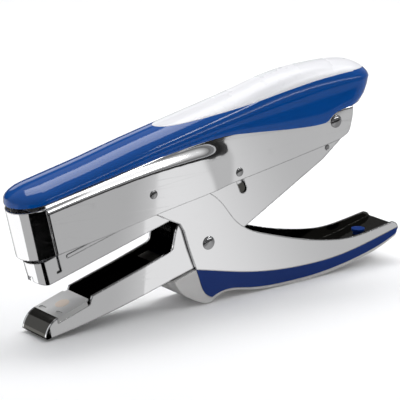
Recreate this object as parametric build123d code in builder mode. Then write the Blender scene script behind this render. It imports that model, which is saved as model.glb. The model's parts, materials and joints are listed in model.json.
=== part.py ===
from build123d import *
import os
from math import asin, atan2, cos, degrees, radians, sin, sqrt

# A plier stapler: frame with anvil arm, squeezed handle, upper lever and magazine.
# Millimetres and degrees. The design frame has its origin on the main pivot's axis,
# with the nose towards -X and the handle's tail towards +X. Everything is symmetric about Y = 0.

# ---------------------------------------------------------------- driving sizes
magazine_width = 15.4        # outside of the magazine channel
side_gap = 0.35              # air between side plates that pass each other
magazine_sheet = 0.8
frame_sheet = 1.2
handle_sheet = 1.1
housing_sheet = 0.9
cover_gap = 0.3              # air between the housing's sides and the cover's walls
cover_wall = 1.6
insert_wall = 1.4
insert_rim = 1.4             # cover left outside the insert, seen from above
insert_tail_rim = 4.8
cover_front_x = -84.6        # centre of the cover's half round front
housing_rear_x = 82.9        # rear end of the housing's roof
housing_rear_z = 50.6
cover_tail_margin = 1.2      # the cover's rear round is centred this far behind the housing
grip_overhang = 0.1          # the grip stands this much outside the handle's sides

running_clearance = 0.05     # radial, on the rivets that things turn on
slot_clearance = 0.25        # radial, studs in their slots
slide_clearance = 0.1

pin_radius = 2.5             # main pivot
pin_head_lip = 0.6
pin_head_height = 1.1
tail_radius = 2.0            # tail rivet
tail_head_lip = 1.0
tail_head_height = 1.1
stud_radius = 1.6            # link and guide studs
stud_head_lip = 0.4
stud_head_height = 0.5
stud_wall = 2.15             # sheet left round the slots in the handle's horns
frame_pin_radius = 1.1

# Places of the axes, as X, Z
tail_x, tail_z = 72.5, 43.9
link_x, link_z = -30.6, 27.8
guide_x, guide_z = 17.3, 29.4
frame_pin_x, frame_pin_z = 68.5, 32.1

# Travel
handle_travel = 26.0         # handle, about the main pivot
lever_ratio = 0.35           # upper lever per degree of handle, about the tail rivet
magazine_ratio = 0.195       # magazine per degree of handle, about the tail rivet

# Magazine
magazine_x, magazine_z = -80.8, -3.6      # foot of its side walls at the front
magazine_slope = 14.9
magazine_height = 10.8
magazine_length = 166.0
nose_centre_u = 3.8          # centre of the rounded fronts, along the magazine
nose_swell = 1.4             # the rounded front is this much more than the half width
rail_gap = 1.3               # between the rail and the magazine's sides
rail_sheet = 0.7
rail_top = 8.2
rail_end_u = 118.0
staple_wire = 0.6
strip_length = 60.0
pusher_length = 14.0
block_length = 6.0
rod_radius = 0.9

# Anvil
anvil_front_x, anvil_back_x = -79.0, -62.6
anvil_front_z = -18.8
anvil_slope = 16.6
anvil_sheet = 1.0
anvil_flange = 2.3
anvil_rivet_x = -70.8
anvil_rivet_radius = 1.6
anvil_rivet_lip = 1.6
anvil_rivet_head = 0.6       # thickness of its flush head
pocket_depth = 0.5
pocket_skew = 1.1

# ---------------------------------------------------------------- widths that follow
frame_width = magazine_width + 2 * (side_gap + frame_sheet)
handle_width = frame_width + 2 * (side_gap + handle_sheet)
housing_width = frame_width + 2 * (side_gap + housing_sheet)
flare_width = handle_width + 2 * (side_gap + housing_sheet)
cover_width = housing_width + 2 * (cover_gap + cover_wall)
cover_tail_x = housing_rear_x + cover_width / 2 + cover_tail_margin     # rearmost point of the cover
magazine_inside = magazine_width / 2 - magazine_sheet
magazine_nose_radius = magazine_width / 2 + nose_swell
rail_half_width = magazine_inside - rail_gap
pusher_half_width = magazine_inside - 0.4
blade_half_width = magazine_inside - 0.7
block_half_width = magazine_inside + 0.1
pocket_spread = 2 * rail_half_width - 0.1        # the staple's legs come down just outside the rail
pin_head_radius = pin_radius + pin_head_lip
tail_head_radius = tail_radius + tail_head_lip
stud_head_radius = stud_radius + stud_head_lip
horn_half_height = stud_radius + slot_clearance + stud_wall

# ---------------------------------------------------------------- shared lines
handle_low = [(-6.7, -11.2), (3.3, -13.6), (23.1, -18.0), (40.3, -20.3), (57.0, -21.1),
              (75.9, -20.3), (100.2, -15.8), (111.4, -13.3)]
grip_low = [(2.2, -25.6), (9.0, -23.6), (23.1, -25.2), (46.3, -26.8), (64.0, -26.3),
            (82.0, -24.0), (100.3, -19.8), (110.3, -16.0)]
base_low = [(2.6, -27.3), (9.5, -24.7), (23.8, -26.6), (38.1, -28.0), (52.8, -28.4),
            (70.6, -27.4), (82.7, -25.5), (100.3, -21.3), (110.6, -16.8)]
housing_low = [(-80.5, 9.9), (-57.9, 13.2), (-29.0, 18.3), (0.0, 22.8), (34.4, 28.1), (74.5, 34.8)]
seam_low = (-80.5, 9.9)      # seam between housing and nose cap
seam_high = (-85.5, 31.5)
roof_front_z = 33.0
roof_front_x = seam_low[0] + (seam_high[0] - seam_low[0]) * (roof_front_z - seam_low[1]) / (
    seam_high[1] - seam_low[1])
housing_high = [(roof_front_x, roof_front_z), (-58.0, 38.2), (-7.0, 47.3), (22.0, 49.3), (55.0, 49.3),
                (housing_rear_x, housing_rear_z)]
# the flare of the housing's sides: where it leaves the plate, and where it is full
flare_foot = [(-100.0, 25.4), (-60.0, 33.8), (-42.0, 37.6), (-20.3, 41.8), (-8.0, 43.6), (9.0, 42.0),
              (14.4, 36.5), (14.6, 30.0), (13.0, 20.0), (11.0, -10.0), (-100.0, -10.0)]
flare_brow = [(-100.0, 22.2), (-60.0, 30.6), (-43.0, 34.2), (-21.4, 37.7), (-9.5, 38.9), (-5.5, 38.3),
              (-3.3, 35.8), (0.6, 28.5), (3.6, 20.0), (7.0, -10.0), (-100.0, -10.0)]
cover_low = [(-106.0, 29.6), (-86.8, 33.0), (-58.9, 38.4), (-32.8, 42.7), (-6.1, 46.4), (10.3, 47.5),
             (21.4, 46.8), (49.8, 44.6), (61.4, 44.3), (70.2, 45.3), (80.8, 49.0), (92.0, 50.8), (104.0, 51.6)]
# X, the parting line where the cover's upright sides end, and its crown
cover_sections = [(-104.0, 32.4, 33.6), (-98.0, 32.9, 36.0), (-92.0, 33.4, 38.3), (-86.0, 34.2, 40.0),
                  (-58.0, 39.5, 46.2), (-32.0, 44.9, 52.3), (-5.0, 49.7, 58.0), (23.0, 54.3, 64.0),
                  (38.0, 56.3, 67.8), (52.0, 58.2, 70.0), (62.0, 59.7, 70.5), (78.0, 61.1, 70.3),
                  (86.0, 61.6, 69.3), (92.0, 61.7, 67.2), (95.5, 61.8, 65.0), (104.0, 61.8, 62.6)]
# height, and how far the tail is drawn in there
tail_lean = [(20.0, 8.5), (48.5, 5.8), (52.2, 2.4), (57.2, 0.7), (61.8, 0.0), (95.0, 0.0)]


def raised(points, height):
    return [(x, z + height) for x, z in points]


def turned(x, z, centre_x, centre_z, angle):
    # turn a point about an axis along -Y, so that a positive angle takes the nose down
    a = radians(angle)
    dx = x - centre_x
    dz = z - centre_z
    return (centre_x + dx * cos(a) - dz * sin(a), centre_z + dx * sin(a) + dz * cos(a))


def anvil_top(x):
    return anvil_front_z + (x - anvil_front_x) * sin(radians(anvil_slope)) / cos(radians(anvil_slope))


def place_along(angle, x, z, normal_up=False):
    # plane with local x along a sloping line: upright for side views, or lying on the slope
    c = cos(radians(angle))
    s = sin(radians(angle))
    if normal_up:
        return Plane(origin=(x, 0, z), x_dir=(c, 0, s), z_dir=(-s, 0, c))
    return Plane(origin=(x, 0, z), x_dir=(c, 0, s), z_dir=(0, -1, 0))


def across(x, z):
    # plane through an axis that runs across the stapler: local x along it, local y outwards
    return Plane(origin=(x, 0, z), x_dir=(0, 1, 0), z_dir=(0, 0, 1))


def dome_point(head_radius, head_height):
    # a point halfway up a spherical dome: distance above the head's seat, distance from the axis
    ball = (head_height ** 2 + head_radius ** 2) / (2 * head_height)
    half_angle = asin(head_radius / ball) / 2
    return head_height - ball + ball * cos(half_angle), ball * sin(half_angle)


def rivet_profile(reach, shank_radius, head_radius, head_height):
    # half profile of a rivet with two domed heads
    rise, away = dome_point(head_radius, head_height)
    tip = reach + head_height
    with BuildSketch() as profile:
        with BuildLine():
            ThreePointArc((-tip, 0), (-reach - rise, away), (-reach, head_radius))
            Polyline((-reach, head_radius), (-reach, shank_radius), (reach, shank_radius), (reach, head_radius))
            ThreePointArc((reach, head_radius), (reach + rise, away), (tip, 0))
            Line((tip, 0), (-tip, 0))
        make_face()
    return profile.sketch


def stud_profile(inside, outside, shank_radius, head_radius, head_height):
    # half profile of a short stud whose domed head lies against the outside of a side plate
    rise, away = dome_point(head_radius, head_height)
    with BuildSketch() as profile:
        with BuildLine():
            Polyline((inside, 0), (inside, shank_radius), (outside, shank_radius), (outside, head_radius))
            ThreePointArc((outside, head_radius), (outside + rise, away), (outside + head_height, 0))
            Line((outside + head_height, 0), (inside, 0))
        make_face()
    return profile.sketch


def draw_hole(x, z, radius):
    with Locations((x, z)):
        Circle(radius)


magazine_side = place_along(magazine_slope, magazine_x, magazine_z)
magazine_deck = place_along(magazine_slope, magazine_x, magazine_z, normal_up=True)
anvil_side = place_along(anvil_slope, anvil_front_x, anvil_front_z)
anvil_deck = place_along(anvil_slope, anvil_front_x, anvil_front_z, normal_up=True)
hinge_u = (tail_x - magazine_x) * cos(radians(magazine_slope)) + (tail_z - magazine_z) * sin(
    radians(magazine_slope))
hinge_v = (tail_z - magazine_z) * cos(radians(magazine_slope)) - (tail_x - magazine_x) * sin(
    radians(magazine_slope))
everywhere = 300.0           # longer than the whole stapler, for cuts that go right through

# ================================================================ frame
arm_low = [(-84.2, -27.3), (-66.0, -24.6), (-44.0, -20.1), (-18.0, -13.4)]
guide_end = turned(guide_x, guide_z, tail_x, tail_z, handle_travel * lever_ratio)
guide_middle = turned(guide_x, guide_z, tail_x, tail_z, handle_travel * lever_ratio / 2)

with BuildPart() as main_frame:
    with BuildSketch(Plane.XZ):
        with BuildLine():
            Spline(*arm_low)
            Polyline(arm_low[-1], (-3.0, -9.7), (66.0, 26.9), (75.0, 33.6))
            ThreePointArc((75.0, 33.6), (79.0, 40.5), (76.6, 47.6))
            Polyline((76.6, 47.6), (72.5, 48.2), (11.0, 32.5), (-15.0, 12.2), (-17.0, 7.0), (-18.4, 0.4),
                     (-20.4, -0.9), (-35.7, -5.5), (-61.3, -12.6),
                     (anvil_back_x, anvil_top(anvil_back_x) - anvil_flange),
                     (anvil_front_x, anvil_front_z - anvil_flange), (anvil_front_x, anvil_front_z))
            ThreePointArc((anvil_front_x, anvil_front_z), (-83.3, -21.8), (-85.3, -26.2))
            ThreePointArc((-85.3, -26.2), (-85.1, -27.1), arm_low[0])
        make_face()
    extrude(amount=frame_width / 2, both=True)
    with BuildSketch(Plane.XZ):
        with BuildLine():
            Spline((-83.3, -26.0), *raised(arm_low[1:], frame_sheet))
            Polyline((-18.0, -13.4 + frame_sheet), (-14.0, -12.2), (-14.0, -60.0), (120.0, -60.0), (120.0, 80.0),
                     (-100.0, 80.0), (-100.0, anvil_front_z), (anvil_front_x, anvil_front_z),
                     (-79.6, -20.5))
            ThreePointArc((-79.6, -20.5), (-82.5, -22.6), (-84.1, -25.6))
            Line((-84.1, -25.6), (-83.3, -26.0))
        make_face()
    extrude(amount=frame_width / 2 - frame_sheet, both=True, mode=Mode.SUBTRACT)
    with BuildSketch(Plane.XZ):
        draw_hole(0, 0, pin_radius)
        draw_hole(tail_x, tail_z, tail_radius)
        draw_hole(frame_pin_x, frame_pin_z, frame_pin_radius)
        SlotArc(Edge.make_three_point_arc((guide_x, guide_z), guide_middle, guide_end),
                height=2 * (stud_radius + slot_clearance))
    extrude(amount=frame_width, both=True, mode=Mode.SUBTRACT)

anvil_length = (anvil_back_x - anvil_front_x) / cos(radians(anvil_slope))
rivet_u = (anvil_rivet_x - anvil_front_x) / cos(radians(anvil_slope))
anvil_head_radius = anvil_rivet_radius + anvil_rivet_lip
pocket_u = 2.35
notch_length, notch_width = 3.4, 2.6

with BuildPart() as anvil_plate:
    with BuildSketch(Plane.XZ):
        Polygon((anvil_front_x, anvil_front_z), (anvil_back_x, anvil_top(anvil_back_x)),
                (anvil_back_x, anvil_top(anvil_back_x) - anvil_flange),
                (anvil_front_x, anvil_front_z - anvil_flange), align=None)
    extrude(amount=frame_width / 2, both=True)
    with BuildSketch(Plane.XZ):
        under = anvil_sheet / cos(radians(anvil_slope))
        Polygon((anvil_front_x - 1, anvil_top(anvil_front_x - 1) - under),
                (anvil_back_x + 1, anvil_top(anvil_back_x + 1) - under),
                (anvil_back_x + 1, anvil_top(anvil_back_x) - 6), (anvil_front_x - 1, anvil_front_z - 6), align=None)
    extrude(amount=frame_width / 2 - frame_sheet, both=True, mode=Mode.SUBTRACT)
    with BuildSketch(anvil_deck):
        for side in (-1, 1):
            with Locations((pocket_u - side * pocket_skew / 2, side * pocket_spread / 2)):
                SlotOverall(4.4, 2.0, rotation=90)
    extrude(amount=-pocket_depth, mode=Mode.SUBTRACT)
    with BuildSketch(anvil_deck):
        with Locations((rivet_u, 0)):
            Circle(anvil_head_radius)
    extrude(amount=-anvil_rivet_head, mode=Mode.SUBTRACT)
    with BuildSketch(anvil_deck):
        with Locations((anvil_length, frame_width / 2), (anvil_length, -frame_width / 2)):
            Rectangle(notch_length, notch_width)
        with Locations((rivet_u, 0)):
            Circle(anvil_rivet_radius)
    extrude(amount=everywhere, both=True, mode=Mode.SUBTRACT)

bridge_front_u, bridge_back_u = 4.5, 13.0
bridge_depth = 4.5
with BuildPart() as anvil_bridge:
    with BuildSketch(anvil_side):
        with Locations(((bridge_front_u + bridge_back_u) / 2, -anvil_sheet - bridge_depth / 2)):
            Rectangle(bridge_back_u - bridge_front_u, bridge_depth)
    extrude(amount=frame_width / 2 - frame_sheet, both=True)
    with BuildSketch(anvil_side):
        with Locations(((bridge_front_u + bridge_back_u) / 2, -2 * anvil_sheet - bridge_depth / 2)):
            Rectangle(everywhere, bridge_depth)
    extrude(amount=frame_width / 2 - frame_sheet - anvil_sheet, both=True, mode=Mode.SUBTRACT)
    with BuildSketch(anvil_deck):
        with Locations((rivet_u, 0)):
            Circle(anvil_rivet_radius)
    extrude(amount=everywhere, both=True, mode=Mode.SUBTRACT)

with BuildPart() as anvil_rivet:
    with BuildSketch(anvil_deck):
        with Locations((rivet_u, 0)):
            Circle(anvil_head_radius)
    extrude(amount=-anvil_rivet_head)
    with BuildSketch(anvil_deck):
        with Locations((rivet_u, 0)):
            Circle(anvil_rivet_radius)
    extrude(amount=-2 * anvil_sheet)
    with BuildSketch(anvil_deck.offset(-2 * anvil_sheet)):
        with Locations((rivet_u, 0)):
            Circle(anvil_rivet_radius + 0.8)
    extrude(amount=-0.8)

with BuildPart() as main_pivot_pin:
    with BuildSketch(across(0, 0)):
        add(rivet_profile(handle_width / 2 + slide_clearance, pin_radius, pin_head_radius, pin_head_height))
    revolve(axis=Axis((0, 0, 0), (0, 1, 0)))

with BuildPart() as pivot_spacer:
    with BuildSketch(Plane.XZ):
        Circle(pin_radius + frame_sheet)
        Circle(pin_radius, mode=Mode.SUBTRACT)
    extrude(amount=frame_width / 2 - frame_sheet, both=True)

with BuildPart() as tail_rivet:
    with BuildSketch(across(tail_x, tail_z)):
        add(rivet_profile(housing_width / 2 + slide_clearance, tail_radius, tail_head_radius, tail_head_height))
    revolve(axis=Axis((tail_x, 0, tail_z), (0, 1, 0)))

with BuildPart() as frame_pin:
    with BuildSketch(Plane.XZ):
        draw_hole(frame_pin_x, frame_pin_z, frame_pin_radius)
    extrude(amount=frame_width / 2 + 0.3, both=True)
    chamfer(frame_pin.edges().filter_by(GeomType.CIRCLE), 0.2)

# ================================================================ lower handle
link_path = []
for share in (0, 0.5, 1):
    # the stud's place in the handle's own frame, as the lever and the handle turn together
    swung = turned(link_x, link_z, tail_x, tail_z, handle_travel * lever_ratio * share)
    link_path.append(turned(*swung, 0, 0, -handle_travel * share))
inlay_stud_x = (30.0, 96.0)
inlay_stud_radius = 2.5

with BuildPart() as handle_channel:
    with BuildSketch(Plane.XZ):
        with BuildLine():
            Spline(*handle_low)
            ThreePointArc((111.4, -13.3), (110.4, -11.2), (107.4, -10.2))
            Spline((107.4, -10.2), (96.0, -11.8), (82.0, -12.9), (69.7, -11.7), (51.9, -7.9), (34.4, -2.5),
                   (22.9, 2.0), (14.4, 8.4), (8.9, 15.4), (3.2, 21.1), (-6.0, 25.4))
            Polyline((-6.0, 25.4), (-20.0, 29.4), (link_x, link_z + horn_half_height))
            ThreePointArc((link_x, link_z + horn_half_height), (link_x - horn_half_height, link_z),
                          (link_x - 2.6, link_z - 3.0))
            Polyline((link_x - 2.6, link_z - 3.0), (-28.2, 18.0), (-21.3, 14.1), (-15.6, 11.4), (-13.5, 8.0),
                     (-10.5, -1.2), (-7.0, -10.4), (-6.7, -11.2))
        make_face()
    extrude(amount=handle_width / 2, both=True)
    with BuildSketch(Plane.XZ):
        with BuildLine():
            Spline(*raised(handle_low[1:], handle_sheet))
            Polyline((111.4, -13.3 + handle_sheet), (130.0, -10.0), (130.0, 60.0), (-60.0, 60.0), (-60.0, -60.0),
                     (3.3, -60.0), (3.3, -13.6 + handle_sheet))
        make_face()
    extrude(amount=handle_width / 2 - handle_sheet, both=True, mode=Mode.SUBTRACT)
    with BuildSketch(Plane.XZ):
        draw_hole(0, 0, pin_radius + running_clearance)
        SlotArc(Edge.make_three_point_arc(*link_path), height=2 * (stud_radius + slot_clearance))
    extrude(amount=handle_width, both=True, mode=Mode.SUBTRACT)
    with BuildSketch(Plane.XY.offset(-30)):
        with Locations(*[(x, 0) for x in inlay_stud_x]):
            Circle(inlay_stud_radius)
    extrude(amount=20, mode=Mode.SUBTRACT)

seam_front = [(-6.7, -11.2), (-5.0, -15.7), (-1.7, -23.0), (2.2, -25.6)]
grip_half_width = handle_width / 2 + grip_overhang
with BuildPart() as grip_inlay:
    with BuildSketch(Plane.XZ):
        with BuildLine():
            Spline(*handle_low)
            Line(handle_low[-1], grip_low[-1])
            Spline(*grip_low)
            Spline(*seam_front)
        make_face()
    extrude(amount=grip_half_width, both=True)
    for x, floor_z in zip(inlay_stud_x, (-19.0, -16.6)):
        with BuildSketch(Plane.XY.offset(floor_z - 3)):
            with Locations((x, 0)):
                Circle(inlay_stud_radius)
        extrude(amount=5.0)
        with BuildSketch(Plane.XY.offset(floor_z + 2.0)):
            with Locations((x, 0)):
                Circle(inlay_stud_radius + 0.7)
        extrude(amount=1.0)

with BuildPart() as grip_base:
    with BuildSketch(Plane.XZ):
        with BuildLine():
            Spline(*seam_front)
            Spline(*grip_low)
            Line(grip_low[-1], base_low[-1])
            Spline(*base_low)
            ThreePointArc((2.6, -27.3), (0.2, -28.0), (-2.4, -27.6))
            Spline((-2.4, -27.6), (-10.6, -23.6), (-15.9, -19.0), (-18.4, -14.6))
            Line((-18.4, -14.6), (-6.7, -11.2))
        make_face()
    extrude(amount=grip_half_width - 0.2, both=True)

coil_inner = pin_radius + frame_sheet + 0.2
coil_wire = 1.2
with BuildPart() as handle_spring:
    with BuildSketch(Plane.XZ):
        Circle(coil_inner + coil_wire)
        Circle(coil_inner, mode=Mode.SUBTRACT)
    extrude(amount=5.0, both=True)
    with BuildSketch(Plane.XZ):
        with BuildLine():
            Polyline((0.0, -4.4), (24.0, -16.4), (24.0, -15.2), (0.0, -3.9), close=True)
        make_face()
        Circle(coil_inner, mode=Mode.SUBTRACT)
    extrude(amount=0.6, both=True)

# ================================================================ upper lever
seam_tilt = degrees(atan2(seam_low[0] - seam_high[0], seam_high[1] - seam_low[1]))
nose_plane = Plane(origin=(seam_low[0], 0, seam_low[1]), x_dir=(cos(radians(seam_tilt)), 0, sin(radians(seam_tilt))),
                   z_dir=(-sin(radians(seam_tilt)), 0, cos(radians(seam_tilt))))
seam_length = sqrt((seam_high[0] - seam_low[0]) ** 2 + (seam_high[1] - seam_low[1]) ** 2)


def housing_side(drop, cut_open=False):
    # side view of the housing; the roof is lowered by drop, and a cutter runs out below and behind
    with BuildSketch() as profile:
        with BuildLine():
            Spline(*raised(housing_high, -drop))
            if cut_open:
                Polyline((housing_rear_x, housing_rear_z - drop), (100.0, housing_rear_z - drop), (100.0, -20.0),
                         (seam_low[0] + 7.0, -20.0),
                         (roof_front_x, roof_front_z - drop))
            else:
                Spline(housing_high[-1], (housing_rear_x - 1.0, 42.5), (housing_rear_x - 3.6, 37.0), housing_low[-1])
                Spline(*housing_low)
                Line(housing_low[0], housing_high[0])
        make_face()
    return profile.sketch


inner_reach = (2.5, 0.5)     # the flare's hollow runs this much further, to let the handle's horns swing
with BuildPart() as housing:
    with BuildSketch(Plane.XZ):
        add(housing_side(0))
    extrude(amount=housing_width / 2, both=True)
    for side in (-1, 1):
        with BuildSketch(Plane.XZ.offset(side * housing_width / 2)):
            Polygon(*flare_foot, align=None)
        with BuildSketch(Plane.XZ.offset(side * flare_width / 2)):
            Polygon(*flare_brow, align=None)
        loft(ruled=True)
    with BuildSketch(Plane.XZ):
        add(housing_side(0))
    extrude(amount=flare_width, both=True, mode=Mode.INTERSECT)
    with BuildSketch(Plane.XZ):
        add(housing_side(housing_sheet, cut_open=True))
    extrude(amount=housing_width / 2 - housing_sheet, both=True, mode=Mode.SUBTRACT)
    for side in (-1, 1):
        with BuildSketch(Plane.XZ.offset(side * (housing_width / 2 - housing_sheet))):
            Polygon(*flare_foot, align=None)
        with BuildSketch(Plane.XZ.offset(side * (flare_width / 2 - housing_sheet))):
            with Locations(inner_reach):
                Polygon(*flare_brow, align=None)
        loft(ruled=True, mode=Mode.SUBTRACT)
    with BuildSketch(Plane.XZ):
        draw_hole(tail_x, tail_z, tail_radius + running_clearance)
        draw_hole(link_x, link_z, stud_radius)
        draw_hole(guide_x, guide_z, stud_radius)
    extrude(amount=flare_width, both=True, mode=Mode.SUBTRACT)

with BuildPart() as nose_cap:
    with BuildSketch(nose_plane):
        Circle(housing_width / 2)
        Circle(housing_width / 2 - housing_sheet, mode=Mode.SUBTRACT)
        with Locations((housing_width, 0)):
            Rectangle(2 * housing_width, 2 * housing_width, mode=Mode.SUBTRACT)
    extrude(amount=seam_length)
    fillet(nose_cap.edges().filter_by(GeomType.CIRCLE).sort_by(Axis.Z)[0:1], 0.3)


def cover_plan(shrink, tail):
    # plan view: half round at both ends
    half = cover_width / 2 - shrink
    back = tail - cover_width / 2
    with BuildSketch() as profile:
        with BuildLine():
            ThreePointArc((cover_front_x, -half), (cover_front_x - half, 0), (cover_front_x, half))
            Line((cover_front_x, half), (back, half))
            ThreePointArc((back, half), (back + half, 0), (back, -half))
            Line((back, -half), (cover_front_x, -half))
        make_face()
    return profile.sketch


def cover_side():
    # side view: everything above the cover's lower edge
    with BuildSketch() as profile:
        with BuildLine():
            Spline(*cover_low)
            Polyline(cover_low[-1], (cover_low[-1][0], 90.0), (cover_low[0][0], 90.0), cover_low[0])
        make_face()
    return profile.sketch


def build_cover_body(shrink, side_shrink):
    # the cover's whole form, lowered by shrink and narrowed by side_shrink
    half = cover_width / 2 - side_shrink
    with BuildPart() as body:
        for x, parting_z, crown_z in cover_sections:
            edge_z = parting_z - shrink
            with BuildSketch(Plane.YZ.offset(x)):
                with BuildLine():
                    Polyline((half, edge_z), (half, 10.0), (-half, 10.0), (-half, edge_z))
                    EllipticalCenterArc((0, edge_z), half, crown_z - parting_z, start_angle=0, arc_size=180)
                make_face()
        loft(ruled=True)
        for height, lean in tail_lean:
            with BuildSketch(Plane.XY.offset(height)):
                add(cover_plan(side_shrink, cover_tail_x - lean))
        loft(ruled=True, mode=Mode.INTERSECT)
    return body.part


insert_half = cover_width / 2 - insert_rim
insert_tip_x = cover_tail_x - insert_tail_rim
insert_plan = [(-22.0, 0.0), (-18.5, 0.436), (-3.1, 0.782), (28.0, 1.0), (68.4, 0.964)]


def build_insert_prism(gap):
    # the insert's outline, seen from above: pointed in front, rounded at the tail
    near = [(x - (gap if share == 0 else 0), -(share * insert_half + (gap if share else 0)))
            for x, share in insert_plan]
    near.append((insert_tip_x - 7.5, -0.836 * insert_half - gap))
    far = [(x, -y) for x, y in reversed(near)]
    with BuildPart() as prism:
        with BuildSketch(Plane.XY):
            with BuildLine():
                Spline(*near)
                ThreePointArc(near[-1], (insert_tip_x + gap, 0), far[0])
                Spline(*far)
            make_face()
        extrude(amount=90)
    return prism.part


cover_shape = build_cover_body(0, 0)
cover_cavity = build_cover_body(cover_wall, cover_wall)
pocket_floor = build_cover_body(insert_wall, 0)

with BuildPart() as cover_ribs:
    with BuildSketch(Plane.XZ):
        for rib_x in (-62.0, -20.0, 22.0, 58.0):
            with Locations((rib_x, 50.0)):
                Rectangle(1.4, 60.0)
    extrude(amount=cover_width / 2 - cover_wall, both=True)
    add(cover_cavity, mode=Mode.INTERSECT)
    with BuildSketch(Plane.XZ):
        with BuildLine():
            Spline(*housing_high)
            Polyline(housing_high[-1], (housing_rear_x, -40.0), (roof_front_x, -40.0), housing_high[0])
        make_face()
    extrude(amount=cover_width, both=True, mode=Mode.SUBTRACT)

with BuildPart() as top_cover:
    add(cover_shape)
    with BuildSketch(Plane.XZ):
        add(cover_side())
    extrude(amount=cover_width, both=True, mode=Mode.INTERSECT)
    add(cover_cavity, mode=Mode.SUBTRACT)
    add(cover_ribs.part)
    add(build_insert_prism(0.06) - pocket_floor, mode=Mode.SUBTRACT)
    with BuildSketch(Plane.XZ):
        # room for the heads of the tail rivet
        draw_hole(tail_x, tail_z, tail_head_radius + 0.4)
    extrude(amount=housing_width / 2 + tail_head_height + slide_clearance + 0.1, both=True, mode=Mode.SUBTRACT)

with BuildPart() as cover_insert:
    add(cover_shape)
    add(build_insert_prism(0), mode=Mode.INTERSECT)
    add(pocket_floor, mode=Mode.SUBTRACT)


def build_studs(x, z, inside, outside):
    # one stud in each side
    with BuildPart() as studs:
        with BuildSketch(across(x, z)):
            add(stud_profile(inside, outside, stud_radius, stud_head_radius, stud_head_height))
        revolve(axis=Axis((x, 0, z), (0, 1, 0)))
        mirror(about=Plane.XZ)
    return studs


link_studs = build_studs(link_x, link_z, handle_width / 2 - handle_sheet - 0.2, flare_width / 2)
guide_studs = build_studs(guide_x, guide_z, frame_width / 2 - frame_sheet, housing_width / 2)

# The blade is drawn as it stands at the bottom of the stroke, square to the magazine,
# then turned back about the tail rivet to where it waits.
stroke_angle = handle_travel * (lever_ratio - magazine_ratio)
blade_u = -0.9
blade_thickness = 0.6
blade_origin = turned(magazine_x, magazine_z, tail_x, tail_z, -stroke_angle)
blade_side = place_along(magazine_slope - stroke_angle, *blade_origin)
blade_face = Plane(origin=blade_side.origin, x_dir=(0, 1, 0), z_dir=blade_side.x_dir)
blade_top = 22.0
block_depth = 9.0
block_bottom = 14.5
driver_rivet_radius = 1.5

with BuildPart() as driver_blade:
    with BuildSketch(blade_side):
        with Locations((blade_u, (blade_top - 0.2) / 2)):
            Rectangle(blade_thickness, blade_top + 0.2)
    extrude(amount=blade_half_width, both=True)

with BuildPart() as driver_block:
    with BuildSketch(blade_side):
        with Locations((blade_u + (blade_thickness + block_depth) / 2, (block_bottom + blade_top + 6) / 2)):
            Rectangle(block_depth, blade_top + 6 - block_bottom)
    extrude(amount=block_half_width, both=True)
    with BuildSketch(Plane.XZ):
        add(housing_side(housing_sheet, cut_open=True))
    extrude(amount=cover_width, both=True, mode=Mode.INTERSECT)

driver_rivet_y = blade_half_width - 2.7
with BuildPart() as driver_rivets:
    with BuildSketch(blade_face.offset(blade_u - blade_thickness / 2 - 0.5)):
        with Locations((-driver_rivet_y, blade_top - 4.0), (driver_rivet_y, blade_top - 4.0)):
            Circle(driver_rivet_radius)
    extrude(amount=0.5)

lever_spring_x = 34.5
lever_spring_low = 37.4
lever_spring_high = 49.3 - housing_sheet - 0.1   # just under the housing's roof
with BuildPart() as lever_spring:
    with BuildSketch(Plane.XY.offset(lever_spring_low)):
        with Locations((lever_spring_x, 0)):
            Circle(3.4)
            Circle(2.6, mode=Mode.SUBTRACT)
    extrude(amount=lever_spring_high - lever_spring_low)

# ================================================================ magazine


def magazine_plan(wall):
    # plan view with the rounded front; wall is taken off all round
    half = magazine_width / 2 - wall
    radius = magazine_nose_radius - wall
    shoulder = nose_centre_u - sqrt(radius ** 2 - half ** 2)
    with BuildSketch() as profile:
        with BuildLine():
            ThreePointArc((shoulder, -half), (nose_centre_u - radius, 0), (shoulder, half))
            Polyline((shoulder, half), (magazine_length + wall * 5, half), (magazine_length + wall * 5, -half),
                     (shoulder, -half))
        make_face()
    return profile.sketch


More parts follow.
